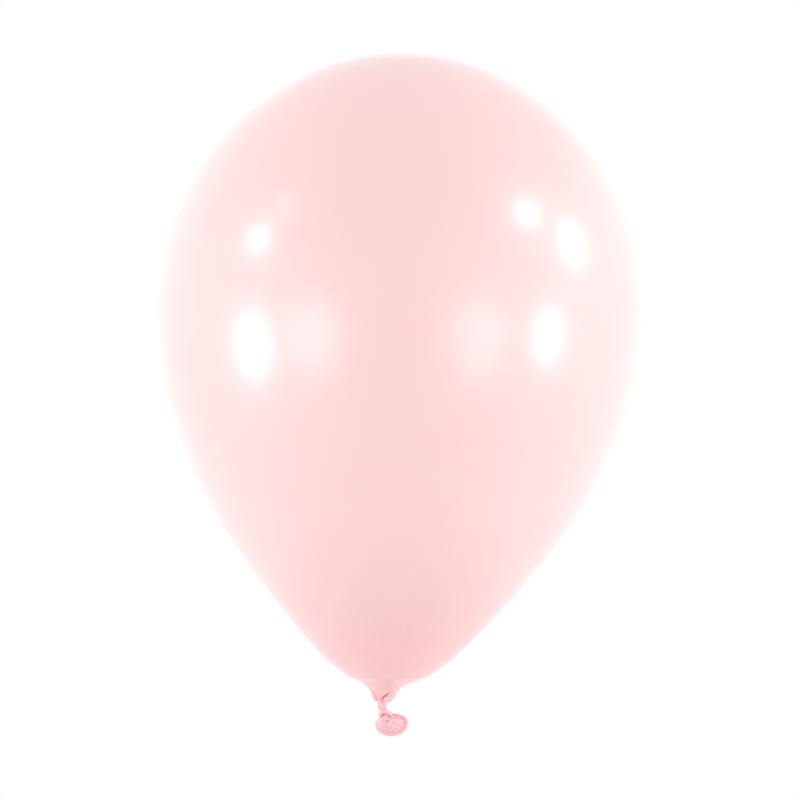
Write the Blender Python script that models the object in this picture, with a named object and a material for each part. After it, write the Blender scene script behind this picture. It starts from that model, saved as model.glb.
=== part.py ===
"""A tied latex party balloon of 28 cm across, in metres, with +Z up.

The origin is the tie: the gathered neck between the inflated bulb and the knot, where
a ribbon goes round. The bulb rises above it, and the knot, the flared mouth sleeve and
its rolled bead lie below. The real balloon is one dipped moulding; each zone that bends
against the next is an object of its own, with its origin on its joint.
"""

import math

import bpy
import bmesh
import numpy as np
from mathutils import Matrix, Vector

MM = 0.001

# Inflated bulb: a teardrop of revolution that leans a little as it leaves the tie
BULB_GIRTH = 154.9 * MM      # scale of the radius; the widest ring comes to 140 mm
BULB_TAPER = 0.544           # 0 is an ellipsoid, 1 a sharp point at the throat
BULB_FULLNESS = 0.065        # extra radius round the middle
BULB_BOTTOM = 0.7 * MM
BULB_HALF_HEIGHT = 187.3 * MM
BULB_LEAN = 10.6 * MM        # how far the bulb's own axis ends up beside the tie
BULB_LEAN_HEIGHT = 75 * MM   # height over which it gets there
BULB_RINGS = 22
BULB_SIDES = 48
FILM = 0.10 * MM             # stand-in wall; the stretched film is about 0.015 mm

# Throat, where the film gathers: (radius, height) from the lip inside the gather,
# round the puffed pleats and up to the teardrop
THROAT_OUTLINE = [
    (2.6 * MM, 1.9 * MM),
    (4.2 * MM, 1.1 * MM),
    (5.8 * MM, 1.3 * MM),
    (6.9 * MM, 2.7 * MM),
    (7.9 * MM, 4.7 * MM),
    (10.0 * MM, 7.0 * MM),
    (13.3 * MM, 9.3 * MM),
    (18.0 * MM, 11.7 * MM),
]
THROAT_TURN = 0.377          # the teardrop's turn at its first ring, 14 mm up

# Gathered neck, between the bulb and the knot: its top turns inside the throat's lip
GATHER_OUTLINE = [
    (0.9 * MM, 2.30 * MM),
    (1.8 * MM, 1.90 * MM),
    (2.5 * MM, 1.05 * MM),
    (2.6 * MM, 0.30 * MM),
    (2.3 * MM, -0.60 * MM),
    (2.1 * MM, -1.60 * MM),
    (1.7 * MM, -2.40 * MM),
    (0.9 * MM, -2.75 * MM),
]
GATHER_TIP = 0.12 * MM       # how far each rounded end stands past its last ring
GATHER_PLEATS = 7
GATHER_PLEAT_DEPTH = 0.05    # share of the radius
GATHER_SIDES = 42

# Overhand knot of the gathered neck
STRAND = 2.35 * MM           # spacing of the strand's turns
STRAND_RADIUS = 1.08 * MM
KNOT_TOP = Vector((2.0 * MM, 0.0, -3.5 * MM))
KNOT_TURN = math.radians(232)
KNOT_STRETCH = 1.2           # its lumps lie wider along X than a round knot's
KNOT_LEAD = 1.2 * MM         # how far its first stretch bends back under the neck
KNOT_LEAD_SHARE = 0.08       # of its length
KNOT_REACH = 1.72            # from the middle to each end, in strand spacings
KNOT_SPACING = 0.25          # distance between points of the centre line, likewise
KNOT_STEPS = 1200            # of drawing it tight
KNOT_PULL = 3.0              # where its two ends are pulled to, in strand spacings
LOOSE_SCALE = 1.2            # of the open knot that it starts from

# Mouth: a short sleeve that flares from the knot to an oval rolled bead
MOUTH_CENTRE = Vector((4.9 * MM, 5.2 * MM, -14.8 * MM))
MOUTH_ACROSS = Vector((1.0, -0.10, 0.0)).normalized()
MOUTH_TILT = math.radians(18)
BEAD_LONG = 8.6 * MM         # half axes of the bead's centre line
BEAD_SHORT = 5.8 * MM
BEAD_RADIUS = 1.1 * MM
BEAD_GAP = 0.46 * MM         # from the bead to the middle of the sleeve's wall
SLEEVE_ROOT_RADIUS = 1.1 * MM
SLEEVE_ROOT_TIP = 0.3 * MM   # how far the rounded root stands past the joint
SLEEVE_FLARE = 1.5           # above 1 it opens late, like a trumpet
SLEEVE_BEND = 0.9            # below 1 its middle leaves the joint early
SLEEVE_WALL = 0.25 * MM
SLEEVE_RINGS = 10
SLEEVE_FOLDS = 5
SLEEVE_FOLD_DEPTH = 0.35 * MM
MOUTH_SIDES = 40

# Joints
NECK_PIVOT = Vector((0.0, 0.0, 0.0))
KNOT_PIVOT = Vector((0.4 * MM, 0.0, -3.1 * MM))
TAIL_PIVOT = Vector((1.9 * MM, 0.4 * MM, -12.7 * MM))

# Colours are linear
PEARL_PINK = (0.955, 0.655, 0.640, 1.0)
GATHERED_PINK = (0.93, 0.55, 0.56, 1.0)


def clear_scene():
    for obj in list(bpy.data.objects):
        bpy.data.objects.remove(obj, do_unlink=True)


def latex(name, colour, roughness):
    material = bpy.data.materials.new(name)
    material.use_nodes = True
    shader = material.node_tree.nodes["Principled BSDF"]
    shader.inputs["Base Color"].default_value = colour
    shader.inputs["Roughness"].default_value = roughness
    shader.inputs["Metallic"].default_value = 0.0
    return material


def add_object(name, data, material, pivot):
    """Link the data as an object whose origin is the pivot's."""
    data.materials.append(material)
    obj = bpy.data.objects.new(name, data)
    bpy.context.scene.collection.objects.link(obj)
    if isinstance(data, bpy.types.Mesh):
        data.transform(Matrix.Translation(-pivot.matrix_world.translation))
        data.shade_smooth()
    obj.parent = pivot
    return obj


def add_pivot(name, place, parent=None):
    """An empty on a joint, so that turning it turns what it carries."""
    pivot = bpy.data.objects.new(name, None)
    pivot.empty_display_size = 5 * MM
    bpy.context.scene.collection.objects.link(pivot)
    pivot.parent = parent
    pivot.location = place - (parent.matrix_world.translation if parent else Vector())
    bpy.context.view_layer.update()
    return pivot


def loft(name, rings, first_tip=None, last_tip=None):
    """A mesh through rings of equal count; a tip closes an end with a fan."""
    shape = bmesh.new()
    loops = [[shape.verts.new(point) for point in ring] for ring in rings]
    for low, high in zip(loops, loops[1:]):
        for i in range(len(low)):
            j = (i + 1) % len(low)
            shape.faces.new((low[i], low[j], high[j], high[i]))
    for tip, loop in ((first_tip, loops[0]), (last_tip, loops[-1])):
        if tip is None:
            continue
        point = shape.verts.new(tip)
        for i in range(len(loop)):
            shape.faces.new((loop[i], loop[(i + 1) % len(loop)], point))
    bmesh.ops.recalc_face_normals(shape, faces=shape.faces)
    mesh = bpy.data.meshes.new(name)
    shape.to_mesh(mesh)
    shape.free()
    return mesh


def turned_ring(radius, height, sides, centre=(0.0, 0.0), pleats=0, depth=0.0):
    """A level ring, with pleats that swell and shrink its radius."""
    ring = []
    for side in range(sides):
        angle = math.tau * side / sides
        r = radius * (1.0 + depth * math.cos(pleats * angle))
        ring.append((centre[0] + r * math.cos(angle), centre[1] + r * math.sin(angle), height))
    return ring


def bulb_lean(height):
    return BULB_LEAN * (1.0 - math.exp(-max(height, 0.0) / BULB_LEAN_HEIGHT))


def bulb_outline():
    """(radius, height) of each ring, from the lip in the throat to the last below the crown."""
    outline = list(THROAT_OUTLINE)
    for ring in range(BULB_RINGS):
        turn = THROAT_TURN + (math.pi - THROAT_TURN) * ring / BULB_RINGS
        radius = BULB_GIRTH * math.sin(turn) * math.sin(turn / 2) ** BULB_TAPER
        radius *= 1.0 + BULB_FULLNESS * math.sin(turn) ** 2
        outline.append((radius, BULB_BOTTOM + BULB_HALF_HEIGHT * (1.0 - math.cos(turn))))
    return outline


def make_envelope(material, pivot):
    """The blown-up film, open at the throat where the gathered neck comes out."""
    rings = [
        turned_ring(radius, height, BULB_SIDES, (bulb_lean(height), 0.0))
        for radius, height in bulb_outline()
    ]
    top = BULB_BOTTOM + 2 * BULB_HALF_HEIGHT
    mesh = loft("envelope", rings, last_tip=(bulb_lean(top), 0.0, top))
    obj = add_object("envelope", mesh, material, pivot)
    wall = obj.modifiers.new("film", "SOLIDIFY")
    wall.thickness = FILM
    wall.offset = -1.0
    return obj


def make_neck_gather(material, pivot):
    """The bunched film in the throat: a small pleated barrel, waisted where it is tied."""
    rings = [
        turned_ring(radius, height, GATHER_SIDES, (0.0, 0.0), GATHER_PLEATS, GATHER_PLEAT_DEPTH)
        for radius, height in GATHER_OUTLINE
    ]
    top = (0.0, 0.0, GATHER_OUTLINE[0][1] + GATHER_TIP)
    bottom = (0.0, 0.0, GATHER_OUTLINE[-1][1] - GATHER_TIP)
    mesh = loft("neck_gather", rings, first_tip=top, last_tip=bottom)
    return add_object("neck_gather", mesh, material, pivot)


def evenly(line):
    """The same line with its points KNOT_SPACING apart."""
    steps = np.linalg.norm(np.diff(line, axis=0), axis=1)
    run = np.concatenate([[0.0], np.cumsum(steps)])
    places = np.linspace(0.0, run[-1], int(round(run[-1] / KNOT_SPACING)) + 1)
    return np.stack([np.interp(places, run, line[:, axis]) for axis in range(3)], axis=1)


def pushed_apart(line):
    """Move touching turns of the line to one strand spacing from each other."""
    neighbours = round(1.5 / KNOT_SPACING)
    first, second = np.triu_indices(len(line), neighbours)
    between = line[second] - line[first]
    distance = np.linalg.norm(between, axis=1)
    near = distance < 1.0
    first, second = first[near], second[near]
    push = between[near] * ((1.0 / distance[near] - 1.0) / 2.0)[:, None]
    moves = np.zeros_like(line)
    shares = np.ones(len(line))
    for ends, way in ((first, -1.0), (second, 1.0)):
        np.add.at(moves, ends, push * way)
        np.add.at(shares, ends, 0.5)
    return line + moves / shares[:, None]


def overhand_knot():
    """Centre line of a snug overhand knot along Z, in strand spacings.

    It starts as the loose polynomial trefoil and is drawn in like a tightened string,
    with its two ends held on the axis and its turns kept apart.
    """
    t = np.linspace(-2.2, 2.2, 120)
    loose = np.stack([t**3 - 3 * t, t**4 - 4 * t**2, t**5 / 5 - 2 * t], axis=1)
    loose -= (loose[0] + loose[-1]) / 2
    along = (loose[-1] - loose[0]) / np.linalg.norm(loose[-1] - loose[0])
    side = np.cross([0.0, 1.0, 0.0], along)
    side /= np.linalg.norm(side)
    line = LOOSE_SCALE * loose @ np.stack([side, np.cross(along, side), along], axis=1)
    line[:, 1] -= line[30:90, 1].mean()
    start = line[-1, 2]
    for step in range(KNOT_STEPS):
        drawn = min(2.0 * step / KNOT_STEPS, 1.0)
        end = start + (KNOT_PULL - start) * drawn
        if step % 5 == 0:
            line = evenly(line)
        line[0] = (0.0, 0.0, -end)
        line[-1] = (0.0, 0.0, end)
        line[1:-1] += 0.25 * (line[:-2] + line[2:] - 2 * line[1:-1])
        for _ in range(4):
            line = pushed_apart(line)
    return line


def knot_line():
    """The knot's centre line in place from its top, cut short at each end."""
    line = overhand_knot()[::-1]
    line = line[np.abs(line[:, 2]) < KNOT_REACH]
    turn = Matrix.Scale(KNOT_STRETCH, 3, (1.0, 0.0, 0.0)) @ Matrix.Rotation(KNOT_TURN, 3, "Z")
    places = np.array([KNOT_TOP + turn @ (Vector(point - line[0]) * STRAND) for point in line])
    share = np.clip(np.linspace(0.0, 1.0, len(places)) / KNOT_LEAD_SHARE, 0.0, 1.0)
    places[:, 0] -= KNOT_LEAD * (1.0 - share**2 * (3.0 - 2.0 * share))
    return [Vector(place) for place in places]


def make_knot(material, pivot):
    """The overhand knot as one strand with rounded ends."""
    points = knot_line()
    curve = bpy.data.curves.new("knot", "CURVE")
    curve.dimensions = "3D"
    curve.bevel_depth = STRAND_RADIUS
    curve.bevel_resolution = 3
    curve.use_fill_caps = True
    spline = curve.splines.new("POLY")
    spline.points.add(len(points) - 1)
    origin = pivot.matrix_world.translation
    for point, place in zip(spline.points, points):
        point.co = (*(place - origin), 1.0)
    for end, share in ((0, 0.55), (1, 0.9), (-2, 0.9), (-1, 0.55)):
        spline.points[end].radius = share
    return add_object("knot", curve, material, pivot)


def mouth_axes():
    """Directions across, up and out of the mouth."""
    across = MOUTH_ACROSS
    up = Vector((0.0, math.sin(MOUTH_TILT), math.cos(MOUTH_TILT)))
    up = (up - across * up.dot(across)).normalized()
    return across, up, up.cross(across)


def mouth_oval(centre, long, short, angle):
    across, up, _ = mouth_axes()
    return centre + across * (long * math.cos(angle)) + up * (short * math.sin(angle))


def make_mouth_sleeve(material, pivot):
    """The flared end of the neck: a pleated trumpet from the knot to the bead."""
    out = mouth_axes()[2]
    edge = BEAD_RADIUS + BEAD_GAP
    rings = []
    for ring in range(SLEEVE_RINGS):
        share = (ring + 1) / SLEEVE_RINGS
        flare = share**SLEEVE_FLARE
        centre = TAIL_PIVOT.lerp(MOUTH_CENTRE, share**SLEEVE_BEND)
        fold = SLEEVE_FOLD_DEPTH * math.sin(math.pi * share)
        loop = []
        for side in range(MOUTH_SIDES):
            angle = math.tau * side / MOUTH_SIDES
            long = SLEEVE_ROOT_RADIUS * (1 - flare) + (BEAD_LONG - edge) * flare
            short = SLEEVE_ROOT_RADIUS * (1 - flare) + (BEAD_SHORT - edge) * flare
            point = mouth_oval(centre, long, short, angle)
            loop.append(point + out * (fold * math.cos(SLEEVE_FOLDS * angle)))
        rings.append(loop)
    mesh = loft("mouth_sleeve", rings, first_tip=TAIL_PIVOT - out * SLEEVE_ROOT_TIP)
    obj = add_object("mouth_sleeve", mesh, material, pivot)
    wall = obj.modifiers.new("wall", "SOLIDIFY")
    wall.thickness = SLEEVE_WALL
    wall.offset = 0.0
    return obj


def make_mouth_bead(material, pivot):
    """The rolled rim of the mouth: a closed ring of round section."""
    origin = pivot.matrix_world.translation
    curve = bpy.data.curves.new("mouth_bead", "CURVE")
    curve.dimensions = "3D"
    curve.bevel_depth = BEAD_RADIUS
    curve.bevel_resolution = 3
    spline = curve.splines.new("POLY")
    spline.points.add(MOUTH_SIDES - 1)
    spline.use_cyclic_u = True
    for side, point in enumerate(spline.points):
        angle = math.tau * side / MOUTH_SIDES
        place = mouth_oval(MOUTH_CENTRE, BEAD_LONG, BEAD_SHORT, angle) - origin
        point.co = (*place, 1.0)
    return add_object("mouth_bead", curve, material, pivot)


def main():
    clear_scene()
    bulb = add_pivot("bulb", Vector())
    neck = add_pivot("neck_pivot", NECK_PIVOT, bulb)
    knot = add_pivot("knot_pivot", KNOT_PIVOT, neck)
    tail = add_pivot("tail_pivot", TAIL_PIVOT, knot)
    make_envelope(latex("pearl film", PEARL_PINK, 0.18), bulb)
    make_neck_gather(latex("gathered film", GATHERED_PINK, 0.32), neck)
    make_knot(latex("knotted strand", GATHERED_PINK, 0.34), knot)
    make_mouth_sleeve(latex("mouth film", GATHERED_PINK, 0.36), tail)
    make_mouth_bead(latex("rolled bead", GATHERED_PINK, 0.30), tail)


main()
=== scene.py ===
"""The looks of a tied latex balloon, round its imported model.

Metres, +Z up, with the origin at the tie, between the blown-up bulb and the knot.
"""
import math

import bpy
import numpy as np
from mathutils import Matrix, Vector


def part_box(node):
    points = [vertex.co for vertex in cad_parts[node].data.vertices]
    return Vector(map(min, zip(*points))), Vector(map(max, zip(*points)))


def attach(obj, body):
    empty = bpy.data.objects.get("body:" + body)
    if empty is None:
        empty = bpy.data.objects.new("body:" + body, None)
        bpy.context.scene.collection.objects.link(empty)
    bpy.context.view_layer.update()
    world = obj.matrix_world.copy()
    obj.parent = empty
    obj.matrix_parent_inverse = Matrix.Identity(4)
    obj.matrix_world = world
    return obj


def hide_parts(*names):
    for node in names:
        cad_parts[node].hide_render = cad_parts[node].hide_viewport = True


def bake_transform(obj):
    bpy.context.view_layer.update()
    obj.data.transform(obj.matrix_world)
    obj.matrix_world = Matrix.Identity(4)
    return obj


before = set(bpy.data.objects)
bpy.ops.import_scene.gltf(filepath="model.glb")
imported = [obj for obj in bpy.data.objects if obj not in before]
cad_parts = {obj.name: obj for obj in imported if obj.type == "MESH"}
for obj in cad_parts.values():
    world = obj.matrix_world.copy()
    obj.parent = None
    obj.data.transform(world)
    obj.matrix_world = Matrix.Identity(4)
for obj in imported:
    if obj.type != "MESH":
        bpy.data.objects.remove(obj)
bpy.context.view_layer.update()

MM = 0.001

# Camera
SENSOR = 36.0                 # mm
FRAME_WIDTH = 464.8 * MM      # what the picture spans at the balloon
CAMERA_DISTANCE = 2.2
CLIP_END = 20
CAMERA_PLACE = Vector((9.9 * MM, -CAMERA_DISTANCE, 174.3 * MM))

# Bulb
BULB_TAPER = 0.544            # 0 is an ellipsoid, 1 a sharp point at the throat
BULB_FULLNESS = 0.065         # extra radius round the middle
BULB_BOTTOM = 0.7 * MM
BULB_LEAN = 10.6 * MM
BULB_LEAN_HEIGHT = 75 * MM
SIDE_LEAN = 1.5 * MM          # the throat's funnel opens a little to one side
SIDE_LEAN_LOW = 7.5 * MM
SIDE_LEAN_HIGH = 12 * MM
SIDE_LEAN_FADE = 18 * MM
CONE_HOLLOW = (1.25 * MM, 66 * MM, 22 * MM)    # depth, height, spread
FUNNEL_SWELL = (1.3 * MM, 24 * MM, 9 * MM)     # likewise
BULB_SIDES = 320
RING_STEP = 0.2 * MM          # between rings at the lip, growing upwards
RING_GROWTH = 0.03
RING_STEP_MOST = 4.0 * MM
THROAT_TURN = 0.377
THROAT_OUTLINE = [            # (radius, height) from the lip inside the gather
    (1.9 * MM, 1.6 * MM),
    (2.5 * MM, 0.7 * MM),
    (3.1 * MM, 0.0 * MM),
    (4.2 * MM, -0.15 * MM),
    (5.5 * MM, 0.35 * MM),
    (6.9 * MM, 2.1 * MM),
    (8.0 * MM, 4.6 * MM),
    (9.8 * MM, 7.0 * MM),
    (13.1 * MM, 9.3 * MM),
    (17.95 * MM, 11.6 * MM),
]

# Creases between the throat's puffed lobes: azimuth in degrees from the front, turning
# to the right, at each of the heights, then depth as a share of the radius and width
CREASE_HEIGHTS = (9.0 * MM, 4.6 * MM, 1.2 * MM, -0.4 * MM)
CREASES = [
    ((-57, -53, -54, -56), 0.56, 8),
    ((34, 25, -6, -3), 0.62, 8),
    ((128, 126, 122, 120), 0.50, 10),
    ((168, 166, 162, 161), 0.46, 9),
    ((203, 204, 206, 207), 0.50, 10),
    ((238, 238, 240, 241), 0.52, 10),
]
CREASE_TOP = 7.0 * MM         # where the creases have died away
CREASE_FULL = 2.0 * MM
THROAT_TUCKS = [(-20, 0.34, 17), (144, 0.20, 16), (222, 0.22, 16)]   # azimuth, share, spread
TUCK_TOP = 4.5 * MM
TUCK_FULL = 0.3 * MM
LOBE_DROOP = 0.75 * MM        # how far the lobes sag past the creases between them
TIE_SLANT = 0.15 * MM

# Gathered neck
NECK_OUTLINE = [              # (radius, height) from its hidden top to its hidden foot
    (0.5 * MM, 3.0 * MM),
    (1.9 * MM, 2.6 * MM),
    (2.6 * MM, 1.4 * MM),
    (2.95 * MM, 0.2 * MM),
    (2.92 * MM, -0.8 * MM),
    (2.85 * MM, -1.8 * MM),
    (2.75 * MM, -3.2 * MM),
    (2.6 * MM, -4.6 * MM),
    (1.9 * MM, -5.6 * MM),
    (0.5 * MM, -6.1 * MM),
]
NECK_LEAN = -0.5 * MM
NECK_RINGS = 90
NECK_SIDES = 132
NECK_FLUTES = 11
NECK_FLUTE_DEPTH = 0.17
NECK_FLUTE_WIDTH = 8
NECK_TWIST = 30               # degrees over its length

# Knot
STRAND = 2.35 * MM
STRAND_RADIUS = 1.5 * MM
KNOT_TOP = Vector((2.0 * MM, 0.0, -3.5 * MM))
KNOT_TURN = math.radians(232)
KNOT_STRETCH = 1.2            # its lumps lie wider along X than a round knot's
KNOT_LEAD = 1.2 * MM          # how far its first stretch bends back under the neck
KNOT_LEAD_SHARE = 0.08
KNOT_REACH = 1.72
KNOT_SPACING = 0.25
KNOT_STEPS = 1200
STRAND_RINGS = 260
STRAND_SIDES = 60
STRAND_FLUTES = 6
STRAND_FLUTE_DEPTH = 0.24
STRAND_FLUTE_WIDTH = 13       # degrees
STRAND_TWIST = 420.0          # degrees over its length
STRAND_END = 0.05             # the ends' radius as a share of the middle's
STRAND_END_SHARPNESS = 24     # high keeps the strand full until close to its ends
KNOT_VOXEL = 0.10 * MM

# Light, as brightness where white is 1
ROOM_BELOW = 0.62
ROOM_ABOVE = 0.89
WALL_GLOW = 0.38
WALL_GLOW_DROP = 0.2          # how far below level the glow is centred
WALL_GLOW_FADE = (0.45, 0.95)     # from full to none, by the distance from the glow's centre
ROOM_FADE = (-0.9, 0.5)       # from the light below to the light above, by the direction's Z
SIDE_WALL = 0.72              # the visible walls away from +Y, where the backdrop is white
SIDE_WALL_FADE = (0.35, 0.75)     # from grey to white, by the direction's Y
PANEL_AIM = Vector((10.6 * MM, -60 * MM, 220 * MM))
PANELS = [                    # name, azimuth, elevation, width, height in degrees, brightness
    ("left upper", -104.4, 24.1, 12, 9, 13),
    ("left glint", -111.9, 37.1, 6, 4, 12),
    ("left window", -107, -8.6, 21, 19, 9.5),
    ("left inner", -139, -7.7, 26, 24, 3.3),
    ("right upper inner", 108.2, 33.7, 13, 8, 14),
    ("right upper outer", 87.2, 19.5, 14, 12, 10),
    ("right window", 107.3, -6.9, 15, 16, 10),
    ("right inner", 142.6, -9.3, 26, 26, 3.3),
    ("left fill", -100, 4, 60, 60, 1.15, True),
    ("right fill", 100, 6, 60, 60, 1.3, True),
]

# Floor
FLOOR_HEIGHT = -0.25
FLOOR_SIDES = 96
FLOOR_RINGS = [(0.8, -0.004), (0.79, 0.0), (0.1, 0.0)]   # radius and rise of each ring

# Mouth
MOUTH_ACROSS = Vector((1.0, -0.10, 0.0)).normalized()
MOUTH_TILT = math.radians(18)
BEAD_RADIUS = 1.1 * MM
RIM_SWELLS = [(0.09, 38), (-0.05, 140)]   # share of the radius, and angle round the rim
RIM_SWELL_SPREAD = 26
BEAD_WAVE = 0.25 * MM         # how far the bead bends out of the mouth's plane
SLEEVE_STATIONS = [           # mm: centre, half axes, and turn from level to the mouth's plane
    (1.6, 0.3, -8.4, 0.5, 0.5, 0.0),
    (1.5, 0.2, -9.3, 1.2, 1.2, 0.0),
    (1.2, 0.0, -10.0, 1.75, 1.6, 0.08),
    (0.9, 0.2, -10.8, 2.5, 2.2, 0.4),
    (1.3, 1.3, -11.9, 4.0, 3.0, 0.75),
    (3.0, 3.4, -13.5, 6.4, 4.4, 1.0),
]
SLEEVE_PLEATS = [             # angle round the mouth, depth in mm, width, from and to along it
    (175, 1.0, 9, 0.10, 1.10),
    (208, 0.50, 9, 0.10, 0.95),
    (238, 0.6, 8, 0.10, 1.05),
    (270, 0.5, 8, 0.10, 0.9),
    (303, 0.6, 8, 0.10, 1.0),
    (338, 1.0, 9, 0.10, 1.0),
    (8, 0.5, 10, 0.10, 0.9),
    (40, 0.6, 10, 0.10, 1.0),
    (78, 0.7, 10, 0.10, 1.0),
    (112, 0.7, 10, 0.10, 1.1),
    (145, 0.7, 10, 0.10, 1.0),
]
SLEEVE_DENTS = [              # mm: x and z of each end, depth, width below and above the fold
    (2.7, -11.9, -4.6, -13.9, 1.2, 0.45, 1.5),
    (2.5, -11.8, 1.5, -12.0, 1.3, 0.55, 0.6),
    (5.4, -13.5, 7.4, -15.1, 0.9, 0.40, 0.5),
]
SLEEVE_WALL = 0.22 * MM
SLEEVE_RINGS = 110
SLEEVE_SIDES = 300
BEAD_RINGS = 220
BEAD_SIDES = 28


def ease(low, high, value):
    """0 at low, 1 at high and smooth between."""
    t = np.clip((value - low) / (high - low), 0.0, 1.0)
    return t * t * (3.0 - 2.0 * t)


def hump(size_place_spread, value):
    """A smooth rise of the given size at a place, fading over the spread."""
    size, place, spread = size_place_spread
    return size * np.exp(-(((value - place) / spread) ** 2))


def smooth_through(points, steps=16):
    """A Catmull-Rom curve through the points, as an array of finer points."""
    points = np.asarray(points, float)
    ends = np.vstack([2 * points[0] - points[1], points, 2 * points[-1] - points[-2]])
    t = np.linspace(0.0, 1.0, steps, endpoint=False)[:, None]
    spans = []
    for a, b, c, d in zip(ends, ends[1:], ends[2:], ends[3:]):
        spans.append(0.5 * (2 * b + (c - a) * t + (2 * a - 5 * b + 4 * c - d) * t**2
                            + (3 * b - a - 3 * c + d) * t**3))
    return np.vstack([*spans, points[-1:]])


def run_along(line):
    """Distance along a line at each of its points."""
    return np.concatenate([[0.0], np.cumsum(np.linalg.norm(np.diff(line, axis=0), axis=1))])


def at_runs(line, runs):
    """The points of a line at the given distances along it."""
    run = run_along(line)
    return np.stack([np.interp(runs, run, line[:, k]) for k in range(line.shape[1])], axis=1)


def skin(name, rings, closed_along=False, open_end=False):
    """An object through rings of equal count, with a fan over each end that isn't open."""
    count, sides = rings.shape[:2]
    verts = rings.reshape(-1, 3)
    index = np.arange(count * sides).reshape(count, sides)
    faces = []
    last = count if closed_along else count - 1
    for k in range(last):
        low, high = index[k], index[(k + 1) % count]
        faces += np.stack([low, np.roll(low, -1), np.roll(high, -1), high], axis=1).tolist()
    if not closed_along:
        tips = [rings[0].mean(axis=0)] + ([] if open_end else [rings[-1].mean(axis=0)])
        verts = np.vstack([verts, tips])
        first, second = count * sides, count * sides + 1
        for k in range(sides):
            faces.append((int(index[0][(k + 1) % sides]), int(index[0][k]), first))
            if not open_end:
                faces.append((int(index[-1][k]), int(index[-1][(k + 1) % sides]), second))
    mesh = bpy.data.meshes.new(name)
    mesh.from_pydata(verts.tolist(), [], faces)
    mesh.validate()
    mesh.shade_smooth()
    obj = bpy.data.objects.new(name, mesh)
    bpy.context.scene.collection.objects.link(obj)
    return obj


def follow(azimuth, at_rest, moved):
    """Azimuths carried round with the creases, so that a row of faces follows each crease."""
    order = np.argsort(at_rest % 360.0)
    start = (at_rest % 360.0)[order]
    shift = (moved - at_rest)[order]
    start = np.concatenate([start - 360.0, start, start + 360.0])
    return azimuth + np.interp(azimuth, start, np.tile(shift, 3))


def notches(azimuth, creases, depths, width):
    """1, less a sharp notch at each crease; the last axis of creases lists them."""
    apart = np.abs((azimuth[..., None] - creases + 180.0) % 360.0 - 180.0)
    return np.prod(1.0 - depths * np.exp(-apart / width), axis=-1)


# ---------------------------------------------------------------- bulb

bulb_low, bulb_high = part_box("envelope")
CROWN = bulb_high.z
BULB_RADIUS = (bulb_high.y - bulb_low.y) / 2


def teardrop(turn):
    """The bulb's radius by the angle from its bottom (0) to its crown (pi), unscaled."""
    return np.sin(turn) * np.sin(turn / 2) ** BULB_TAPER * (1 + BULB_FULLNESS * np.sin(turn) ** 2)


def bulb_outline():
    """(radius, height) along the film, from the lip in the gather to the crown."""
    turn = np.linspace(THROAT_TURN, math.pi, 90)
    widest = teardrop(np.linspace(1.0, 2.5, 400)).max()
    height = BULB_BOTTOM + (CROWN - BULB_BOTTOM) * (1 - np.cos(turn)) / 2
    radius = BULB_RADIUS * teardrop(turn) / widest
    radius += hump(FUNNEL_SWELL, height) - hump(CONE_HOLLOW, height)
    radius[-1] = 0.0
    return smooth_through(THROAT_OUTLINE + list(zip(radius, height)))


def bulb_lean(height):
    """How far the bulb's middle lies from the tie along X, by height."""
    rise = np.maximum(height, 0.0)
    lean = BULB_LEAN * (1.0 - np.exp(-rise / BULB_LEAN_HEIGHT))
    fade = np.exp(-np.maximum(rise - SIDE_LEAN_HIGH, 0.0) / SIDE_LEAN_FADE)
    return lean + SIDE_LEAN * ease(SIDE_LEAN_LOW, SIDE_LEAN_HIGH, rise) * fade


def make_balloon_film():
    outline = bulb_outline()
    length = run_along(outline)[-1]
    runs = [0.0]
    while runs[-1] < length - 1.5 * MM:
        runs.append(runs[-1] + min(RING_STEP + RING_GROWTH * runs[-1], RING_STEP_MOST))
    runs = np.array(runs[:-1])
    radius, height = at_runs(outline, runs).T
    lowest = int(np.argmin(height[:60]))
    level = height.copy()
    level[:lowest] = height[lowest]
    azimuth = np.degrees(np.linspace(0.0, math.tau, BULB_SIDES, endpoint=False))
    order = np.argsort(CREASE_HEIGHTS)
    heights = np.array(CREASE_HEIGHTS)[order]
    tracks = [np.array(crease[0], float)[order] for crease in CREASES]
    places = np.stack([np.interp(level, heights, track) for track in tracks], axis=1)
    depth = np.array([c[1] for c in CREASES]) * ease(CREASE_TOP, CREASE_FULL, level)[:, None]
    width = np.array([c[2] for c in CREASES], float)
    azimuth = np.stack([follow(azimuth, places[-1], row) for row in places])
    folded = notches(azimuth, places[:, None, :], depth[:, None, :], width)
    for side, share, spread in THROAT_TUCKS:
        apart = (azimuth - side + 180.0) % 360.0 - 180.0
        fading = (share * ease(TUCK_TOP, TUCK_FULL, level))[:, None]
        folded *= 1.0 - fading * np.exp(-((apart / spread) ** 2))
    r = radius[:, None] * folded
    angle = np.radians(azimuth)
    lobes = (folded - 0.5).clip(0.0, 0.5) * 2.0
    droop = LOBE_DROOP * lobes**1.5 + TIE_SLANT * np.sin(angle + 0.9)
    droop = droop * ease(3.5 * MM, 0.0, level)[:, None]
    rings = np.stack([
        bulb_lean(height)[:, None] + r * np.sin(angle),
        -r * np.cos(angle),
        height[:, None] - droop,
    ], axis=2)
    return skin("balloon_film", rings)


# ---------------------------------------------------------------- gathered neck

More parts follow.
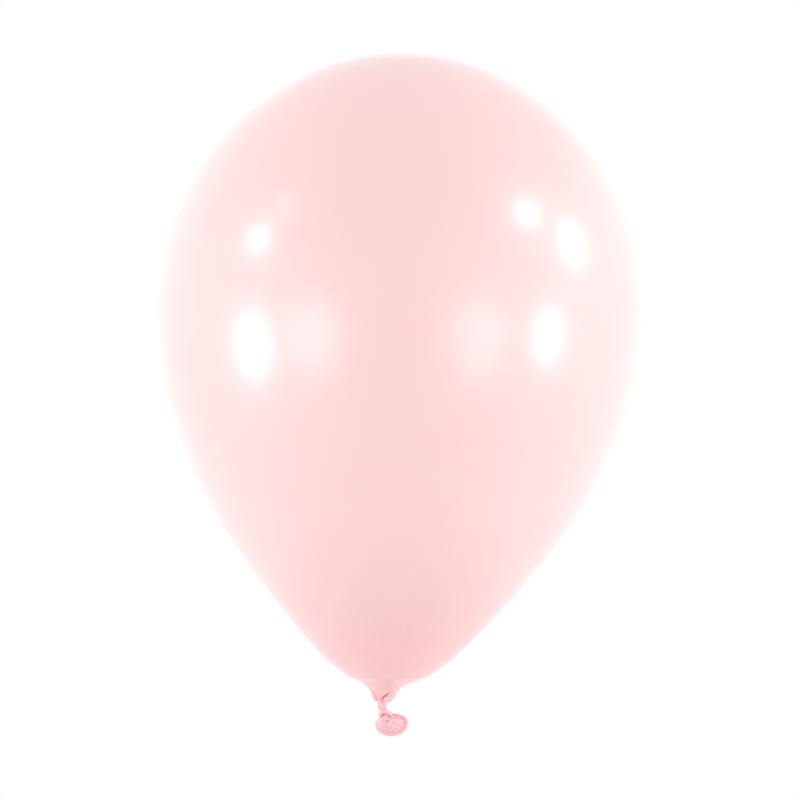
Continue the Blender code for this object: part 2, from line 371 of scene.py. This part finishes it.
def make_gathered_neck():
    outline = smooth_through(NECK_OUTLINE)
    runs = np.linspace(0.0, run_along(outline)[-1], NECK_RINGS)
    radius, height = at_runs(outline, runs).T
    rng = np.random.default_rng(5)
    spread = 360.0 / NECK_FLUTES
    flutes = np.arange(NECK_FLUTES) * spread + rng.uniform(-0.28, 0.28, NECK_FLUTES) * spread
    depths = NECK_FLUTE_DEPTH * rng.uniform(0.6, 1.5, NECK_FLUTES)
    turn = NECK_TWIST * (height - height[0]) / (height[-1] - height[0])
    azimuth = np.degrees(np.linspace(0.0, math.tau, NECK_SIDES, endpoint=False))
    twisted = (flutes[None, :] + turn[:, None])[:, None, :]
    folded = notches(azimuth[None, :], twisted, depths, NECK_FLUTE_WIDTH)
    r = radius[:, None] * folded
    lean = NECK_LEAN * ease(2.0 * MM, -0.5 * MM, height)
    angle = np.radians(azimuth)
    rings = np.stack([
        lean[:, None] + r * np.sin(angle),
        -r * np.cos(angle),
        np.broadcast_to(height[:, None], r.shape),
    ], axis=2)
    return skin("gathered_neck", rings)


# ---------------------------------------------------------------- knot

def evenly(line):
    """The line with its points spaced evenly again."""
    run = run_along(line)
    return at_runs(line, np.linspace(0.0, run[-1], int(round(run[-1] / KNOT_SPACING)) + 1))


def pushed_apart(line):
    """Move touching turns of the line to one strand spacing from each other."""
    neighbours = round(1.5 / KNOT_SPACING)
    first, second = np.triu_indices(len(line), neighbours)
    between = line[second] - line[first]
    distance = np.linalg.norm(between, axis=1)
    near = distance < 1.0
    first, second = first[near], second[near]
    push = between[near] * ((1.0 / distance[near] - 1.0) / 2.0)[:, None]
    moves = np.zeros_like(line)
    shares = np.ones(len(line))
    for ends, way in ((first, -1.0), (second, 1.0)):
        np.add.at(moves, ends, push * way)
        np.add.at(shares, ends, 0.5)
    return line + moves / shares[:, None]


def overhand_knot():
    """Centre line of a snug overhand knot along Z, in strand spacings."""
    t = np.linspace(-2.2, 2.2, 120)
    loose = np.stack([t**3 - 3 * t, t**4 - 4 * t**2, t**5 / 5 - 2 * t], axis=1)
    loose -= (loose[0] + loose[-1]) / 2
    along = (loose[-1] - loose[0]) / np.linalg.norm(loose[-1] - loose[0])
    side = np.cross([0.0, 1.0, 0.0], along)
    side /= np.linalg.norm(side)
    line = 1.2 * loose @ np.stack([side, np.cross(along, side), along], axis=1)
    line[:, 1] -= line[30:90, 1].mean()
    start = line[-1, 2]
    reach = 3.0
    for step in range(KNOT_STEPS):
        drawn = min(2.0 * step / KNOT_STEPS, 1.0)
        end = start + (reach - start) * drawn
        if step % 5 == 0:
            line = evenly(line)
        line[0] = (0.0, 0.0, -end)
        line[-1] = (0.0, 0.0, end)
        line[1:-1] += 0.25 * (line[:-2] + line[2:] - 2 * line[1:-1])
        for _ in range(4):
            line = pushed_apart(line)
    return line


def knot_line():
    """Centre line of the strand in metres, cut to the part that shows and placed under the neck."""
    line = overhand_knot()[::-1]
    line = line[np.abs(line[:, 2]) < KNOT_REACH]
    stretch = Matrix.Scale(KNOT_STRETCH, 3, (1.0, 0.0, 0.0))
    turn = np.array(stretch @ Matrix.Rotation(KNOT_TURN, 3, "Z"))
    line = np.array(KNOT_TOP) + (line - line[0]) @ turn.T * STRAND
    line[:, 0] -= KNOT_LEAD * ease(KNOT_LEAD_SHARE, 0.0, np.linspace(0.0, 1.0, len(line)))
    return line


def frames_along(line):
    """Two directions across the line at each point, carried along it without twist."""
    way = np.gradient(line, axis=0)
    way /= np.linalg.norm(way, axis=1)[:, None]
    across = np.zeros_like(line)
    start = np.cross(way[0], [0.0, 1.0, 0.0])
    across[0] = start / np.linalg.norm(start)
    for k in range(1, len(line)):
        step = across[k - 1] - way[k] * (across[k - 1] @ way[k])
        across[k] = step / np.linalg.norm(step)
    return across, np.cross(way, across)


def make_overhand_knot():
    fine = smooth_through(knot_line(), 8)
    line = at_runs(fine, np.linspace(0.0, run_along(fine)[-1], STRAND_RINGS))
    across, up = frames_along(line)
    share = np.linspace(0.0, 1.0, STRAND_RINGS)
    ends = np.sqrt(np.clip(1.0 - (np.abs(2 * share - 1.0)) ** STRAND_END_SHARPNESS, 0.0, 1.0))
    angle = np.linspace(0.0, math.tau, STRAND_SIDES, endpoint=False)
    rng = np.random.default_rng(11)
    spread = 360.0 / STRAND_FLUTES
    flutes = np.arange(STRAND_FLUTES) * spread + rng.uniform(-0.25, 0.25, STRAND_FLUTES) * spread
    depths = STRAND_FLUTE_DEPTH * rng.uniform(0.6, 1.4, STRAND_FLUTES)
    turn = STRAND_TWIST * share
    twisted = (flutes[None, :] + turn[:, None])[:, None, :]
    folded = notches(np.degrees(angle)[None, :], twisted, depths, STRAND_FLUTE_WIDTH)
    r = STRAND_RADIUS * (STRAND_END + (1.0 - STRAND_END) * ends)[:, None] * folded
    rings = line[:, None, :] + r[..., None] * (
        across[:, None, :] * np.cos(angle)[None, :, None] + up[:, None, :] * np.sin(angle)[None, :, None])
    obj = skin("overhand_knot", rings)
    merge = obj.modifiers.new("merge", "REMESH")
    merge.mode = "VOXEL"
    merge.voxel_size = KNOT_VOXEL
    merge.use_smooth_shade = True
    return obj


# ---------------------------------------------------------------- mouth

bead_low, bead_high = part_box("mouth_bead")
MOUTH_CENTRE = (bead_low + bead_high) / 2
BEAD_LONG = (bead_high.x - bead_low.x) / 2 - BEAD_RADIUS
BEAD_SHORT = ((bead_high.z - bead_low.z) / 2 - BEAD_RADIUS) / math.cos(MOUTH_TILT)


def mouth_axes():
    """Directions across, up and out of the mouth."""
    across = MOUTH_ACROSS
    up = Vector((0.0, math.sin(MOUTH_TILT), math.cos(MOUTH_TILT)))
    up = (up - across * up.dot(across)).normalized()
    return np.array(across), np.array(up), np.array(up.cross(across))


def rim(angle):
    """The mouth's outline, as a share along its long and its short half axis."""
    corner = np.ones_like(angle)
    for size, place in RIM_SWELLS:
        corner += hump((size, math.radians(place), math.radians(RIM_SWELL_SPREAD)), angle)
    return corner * np.cos(angle), corner * np.sin(angle)


def dented(points, facing):
    """Points in mm, pushed back into each fold where the surface faces the front."""
    back = mouth_axes()[2]
    moved = points.copy()
    for x0, z0, x1, z1, depth, below, above in SLEEVE_DENTS:
        way = np.array([x1 - x0, z1 - z0])
        arm = points[:, [0, 2]] - (x0, z0)
        along = np.clip(arm @ way / (way @ way), 0.0, 1.0)
        off = arm - along[:, None] * way
        width = below + (above - below) * ease(-0.3, 0.3, off[:, 1])
        sunk = np.exp(-((np.linalg.norm(off, axis=1) / width) ** 1.5))
        moved += back * (depth * (1.0 - 0.7 * along) * sunk * facing)[:, None]
    return moved


def make_mouth_sleeve():
    across = mouth_axes()[0]
    end = (*(np.array(MOUTH_CENTRE) / MM), BEAD_LONG / MM * 0.95, BEAD_SHORT / MM * 0.93, 1.0)
    stations = smooth_through([*SLEEVE_STATIONS, end], 14)
    stations = at_runs(stations, np.linspace(0.0, run_along(stations)[-1], SLEEVE_RINGS))
    angle = np.linspace(0.0, math.tau, SLEEVE_SIDES, endpoint=False)
    a, b = rim(angle)
    lean = math.pi / 2 - MOUTH_TILT
    rings = []
    for share, (x, y, z, long, short, turn) in zip(np.linspace(0.0, 1.0, SLEEVE_RINGS), stations):
        up = np.array([0.0, math.cos(lean * turn), math.sin(lean * turn)])
        out = np.cross(up, across)
        flat = ease(0.1, 0.8, turn)
        rim_a = a * flat + np.cos(angle) * (1 - flat)
        rim_b = b * flat + np.sin(angle) * (1 - flat)
        arm = across * (long * rim_a)[:, None] + up * (short * rim_b)[:, None]
        inward = -arm / np.linalg.norm(arm, axis=1)[:, None] * (1 - flat) + out * flat
        sunk = np.zeros(SLEEVE_SIDES)
        for place, depth, width, first, last in SLEEVE_PLEATS:
            apart = np.abs((np.degrees(angle) - place + 180.0) % 360.0 - 180.0)
            along = ease(first, first + 0.12, share) * ease(last, last - 0.3, share)
            sunk += depth * along * np.exp(-apart / width)
        turned = ease(0.5, 0.95, turn)
        facing = ease(0.1, -0.3, np.sin(angle)) * (1 - turned) + turned
        rings.append(dented(np.array([x, y, z]) + arm + inward * sunk[:, None], facing))
    obj = skin("mouth_sleeve_skin", np.array(rings) * MM, open_end=True)
    wall = obj.modifiers.new("wall", "SOLIDIFY")
    wall.thickness = SLEEVE_WALL
    wall.offset = -1.0
    return obj


def make_mouth_bead():
    across, up, out = mouth_axes()
    angle = np.linspace(0.0, math.tau, BEAD_RINGS, endpoint=False)
    a, b = rim(angle)
    line = (np.array(MOUTH_CENTRE) + across * (BEAD_LONG * a)[:, None] + up * (BEAD_SHORT * b)[:, None]
            + out * (BEAD_WAVE * np.sin(2 * angle + 0.6))[:, None])
    outward = across * (a * BEAD_SHORT)[:, None] + up * (b * BEAD_LONG)[:, None]
    outward /= np.linalg.norm(outward, axis=1)[:, None]
    turn = np.linspace(0.0, math.tau, BEAD_SIDES, endpoint=False)
    size = BEAD_RADIUS * (1.0 + 0.06 * np.sin(3 * angle + 1.0) + 0.04 * np.sin(7 * angle))
    rings = line[:, None, :] + size[:, None, None] * (
        outward[:, None, :] * np.cos(turn)[None, :, None] + out * np.sin(turn)[None, :, None])
    return skin("mouth_bead_roll", rings, closed_along=True)


# ---------------------------------------------------------------- materials

def add_node(owner, kind, links=(), **settings):
    """A node in a material or world. Each socket in links gets an output or a plain value."""
    node = owner.node_tree.nodes.new(kind)
    for name, value in settings.items():
        setattr(node, name, value)
    for socket, source in dict(links).items():
        target = node.inputs[socket]
        if isinstance(source, bpy.types.NodeSocket):
            owner.node_tree.links.new(source, target)
        else:
            target.default_value = source
    return node


def map_range(owner, value, low, high, to_low, to_high):
    """The value taken smoothly from low..high to to_low..to_high."""
    node = add_node(owner, "ShaderNodeMapRange", {
        "Value": value, "From Min": low, "From Max": high, "To Min": to_low, "To Max": to_high,
    }, interpolation_type="SMOOTHSTEP")
    return node.outputs["Result"]


def math_node(owner, operation, first, second):
    node = add_node(owner, "ShaderNodeMath", {0: first, 1: second}, operation=operation)
    return node.outputs[0]


def mix_colour(owner, share, first, second):
    node = add_node(owner, "ShaderNodeMix", {"Factor": share}, data_type="RGBA")
    for socket, source in (("A", first), ("B", second)):
        target = [i for i in node.inputs if i.name == socket and i.type == "RGBA"][0]
        if isinstance(source, bpy.types.NodeSocket):
            owner.node_tree.links.new(source, target)
        else:
            target.default_value = (*source, 1.0)
    return [o for o in node.outputs if o.type == "RGBA"][0]


def noise(owner, place, size, detail=2.0):
    """Noise from 0 to 1 whose cells are size metres long, along each axis."""
    stretched = add_node(owner, "ShaderNodeMapping", {
        "Vector": place, "Scale": tuple(1.0 / s for s in size),
    })
    node = add_node(owner, "ShaderNodeTexNoise", {
        "Vector": stretched.outputs[0], "Scale": 1.0, "Detail": detail, "Roughness": 0.55,
    })
    return node.outputs[0]


def latex_shader(name, coat, coat_roughness):
    material = bpy.data.materials.new(name)
    material.use_nodes = True
    shader = material.node_tree.nodes["Principled BSDF"]
    shader.inputs["Coat Weight"].default_value = coat
    shader.inputs["Coat Roughness"].default_value = coat_roughness
    place = add_node(material, "ShaderNodeTexCoord").outputs["Object"]
    height = add_node(material, "ShaderNodeSeparateXYZ", {0: place}).outputs["Z"]
    return material, shader, place, height


def pearl_film():
    """Stretched pearl latex: pale, with thicker pink film towards the throat and at the crown."""
    material, shader, place, height = latex_shader("pearl film", 0.6, 0.21)
    link = material.node_tree.links.new
    clouds = noise(material, place, (0.055, 0.055, 0.075), 3.0)
    flakes = noise(material, place, (0.0007, 0.0007, 0.0007), 1.0)
    streaks = noise(material, place, (0.0022, 0.0022, 0.030), 3.0)
    near_throat = map_range(material, height, 0.012, 0.085, 1.0, 0.0)
    rise = map_range(material, height, 0.0, 0.120, 0.0, 1.0)
    crown = map_range(material, height, CROWN - 0.010, CROWN, 0.0, 0.22)
    cloudy = map_range(material, clouds, 0.3, 0.7, 0.0, 0.10)
    streaked = map_range(material, streaks, 0.35, 0.7, 0.0, 0.28)
    streaky = math_node(material, "MULTIPLY", near_throat, streaked)
    thinned = math_node(material, "SUBTRACT", rise, math_node(material, "ADD", cloudy, streaky))
    thinned = math_node(material, "SUBTRACT", thinned, crown)
    colour = mix_colour(material, thinned, (0.95, 0.545, 0.56), (0.985, 0.672, 0.662))
    sparkle = map_range(material, flakes, 0.35, 0.65, 0.0, 0.10)
    link(mix_colour(material, sparkle, colour, (1.0, 0.80, 0.79)), shader.inputs["Base Color"])
    rough = map_range(material, clouds, 0.3, 0.7, 0.31, 0.37)
    rough = math_node(material, "ADD", rough, math_node(material, "MULTIPLY", near_throat, 0.05))
    link(math_node(material, "ADD", rough, math_node(material, "MULTIPLY", sparkle, 0.3)),
         shader.inputs["Roughness"])
    ripple = math_node(material, "MULTIPLY", streaks, near_throat)
    relief = math_node(material, "ADD", math_node(material, "MULTIPLY", flakes, 0.02), ripple)
    bump = add_node(material, "ShaderNodeBump", {"Strength": 0.35, "Distance": 0.00010, "Height": relief})
    link(bump.outputs[0], shader.inputs["Normal"])
    return material


def gathered_film(name, thick, thin, low, high):
    """Unstretched latex, dull and deep pink, with fine wrinkles whose valleys hold painted shade, and a
    powdery bloom.
    """
    material, shader, place, height = latex_shader(name, 0.3, 0.25)
    link = material.node_tree.links.new
    wrinkles = noise(material, place, (0.0004, 0.0004, 0.0016), 4.0)
    patches = noise(material, place, (0.0030, 0.0030, 0.0040), 2.0)
    rise = map_range(material, height, low, high, 0.0, 1.0)
    base = mix_colour(material, rise, thick, thin)
    bloom = map_range(material, patches, 0.40, 0.75, 0.0, 0.16)
    paler = mix_colour(material, bloom, base, (0.96, 0.70, 0.72))
    # painted shade: where the wrinkle bump sinks, the colour is mixed towards a dark pink
    wrinkle_valley_shade = map_range(material, wrinkles, 0.30, 0.55, 0.16, 0.0)
    link(mix_colour(material, wrinkle_valley_shade, paler, (0.86, 0.36, 0.45)), shader.inputs["Base Color"])
    link(map_range(material, patches, 0.35, 0.70, 0.38, 0.50), shader.inputs["Roughness"])
    bump = add_node(material, "ShaderNodeBump", {"Strength": 0.4, "Distance": 0.00012, "Height": wrinkles})
    link(bump.outputs[0], shader.inputs["Normal"])
    return material


# ---------------------------------------------------------------- light

def add_softbox(name, azimuth, elevation, wide, tall, power, fill=False, tilt=0.0, distance=1.5):
    """A soft panel seen from the bulb in a direction: azimuth from the back (+Y) to the right."""
    a, e = math.radians(azimuth), math.radians(elevation)
    way = Vector((math.sin(a) * math.cos(e), math.cos(a) * math.cos(e), math.sin(e)))
    data = bpy.data.lights.new(name, "AREA")
    data.shape = "ELLIPSE"
    data.size = 2 * distance * math.tan(math.radians(wide) / 2)
    data.size_y = 2 * distance * math.tan(math.radians(tall) / 2)
    # radiance = power / (pi * area)
    data.energy = power * math.pi * math.pi / 4 * data.size * data.size_y
    light = bpy.data.objects.new(name, data)
    bpy.context.scene.collection.objects.link(light)
    light.location = PANEL_AIM + way * distance
    turn = way.to_track_quat("Z", "Y")
    light.rotation_mode = "QUATERNION"
    light.rotation_quaternion = turn @ Matrix.Rotation(math.radians(tilt), 3, "Z").to_quaternion()
    light.visible_camera = False
    light.visible_diffuse = fill
    light.visible_glossy = not fill


def make_world():
    """Room light by height, and a visible backdrop: white on +Y, pale grey on the other sides.

    Only the camera's own rays see the backdrop. The glow low on the walls is only in the gloss.
    """
    world = bpy.data.worlds.new("studio")
    bpy.context.scene.world = world
    world.use_nodes = True
    world.node_tree.nodes.clear()
    place = add_node(world, "ShaderNodeTexCoord").outputs["Generated"]
    split = add_node(world, "ShaderNodeSeparateXYZ", {0: place})
    light = map_range(world, split.outputs["Z"], *ROOM_FADE, ROOM_BELOW, ROOM_ABOVE)
    lowered = math_node(world, "ADD", split.outputs["Z"], WALL_GLOW_DROP)
    height = add_node(world, "ShaderNodeMath", {0: lowered}, operation="ABSOLUTE").outputs[0]
    ring = map_range(world, height, *WALL_GLOW_FADE, WALL_GLOW, 0.0)
    ray = add_node(world, "ShaderNodeLightPath")
    gloss = add_node(world, "ShaderNodeMath", {0: ring, 1: ray.outputs["Is Glossy Ray"], 2: light},
                     operation="MULTIPLY_ADD")
    white = (1, 1, 1, 1)
    room = add_node(world, "ShaderNodeBackground", {"Color": white, "Strength": gloss.outputs[0]})
    wall = map_range(world, split.outputs["Y"], *SIDE_WALL_FADE, SIDE_WALL, 1.0)
    page = add_node(world, "ShaderNodeBackground", {"Color": white, "Strength": wall})
    seen = add_node(world, "ShaderNodeMixShader", {
        0: ray.outputs["Is Camera Ray"], 1: room.outputs[0], 2: page.outputs[0],
    })
    add_node(world, "ShaderNodeOutputWorld", {"Surface": seen.outputs[0]})


def make_floor():
    angle = np.linspace(0.0, math.tau, FLOOR_SIDES, endpoint=False)
    rings = []
    for radius, rise in FLOOR_RINGS:
        level = np.full(FLOOR_SIDES, FLOOR_HEIGHT + rise)
        rings.append(np.stack([radius * np.cos(angle), radius * np.sin(angle), level], axis=1))
    floor = skin("floor", np.array(rings))
    material = bpy.data.materials.new("pale floor")
    material.use_nodes = True
    shader = material.node_tree.nodes["Principled BSDF"]
    shader.inputs["Base Color"].default_value = (0.9, 0.9, 0.9, 1)
    shader.inputs["Roughness"].default_value = 0.7
    floor.data.materials.append(material)
    floor.visible_glossy = False


def make_camera():
    data = bpy.data.cameras.new("camera")
    data.sensor_width = SENSOR
    data.lens = SENSOR * CAMERA_DISTANCE / FRAME_WIDTH
    data.clip_end = CLIP_END
    camera = bpy.data.objects.new("camera", data)
    bpy.context.scene.collection.objects.link(camera)
    camera.location = CAMERA_PLACE
    camera.rotation_euler = (math.pi / 2, 0, 0)
    bpy.context.scene.camera = camera


make_camera()
make_world()
make_floor()
for panel in PANELS:
    add_softbox(*panel)
bpy.context.scene.view_settings.view_transform = "Standard"

film = pearl_film()
gathered = gathered_film("gathered film", (0.93, 0.56, 0.575), (0.93, 0.53, 0.59), -8 * MM, 3 * MM)
mouth = gathered_film("mouth film", (0.93, 0.54, 0.59), (0.93, 0.53, 0.59), -20 * MM, -8 * MM)

bulb = make_balloon_film()
bulb.data.materials.append(film)
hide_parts("envelope")
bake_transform(bulb)

neck = make_gathered_neck()
neck.data.materials.append(gathered)
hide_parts("neck_gather")
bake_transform(neck)

knot = make_overhand_knot()
knot.data.materials.append(gathered)
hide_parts("knot")
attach(knot, "knotted_end")

sleeve = make_mouth_sleeve()
sleeve.data.materials.append(mouth)
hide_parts("mouth_sleeve")
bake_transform(sleeve)

bead = make_mouth_bead()
bead.data.materials.append(mouth)
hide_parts("mouth_bead")
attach(bead, "mouth")
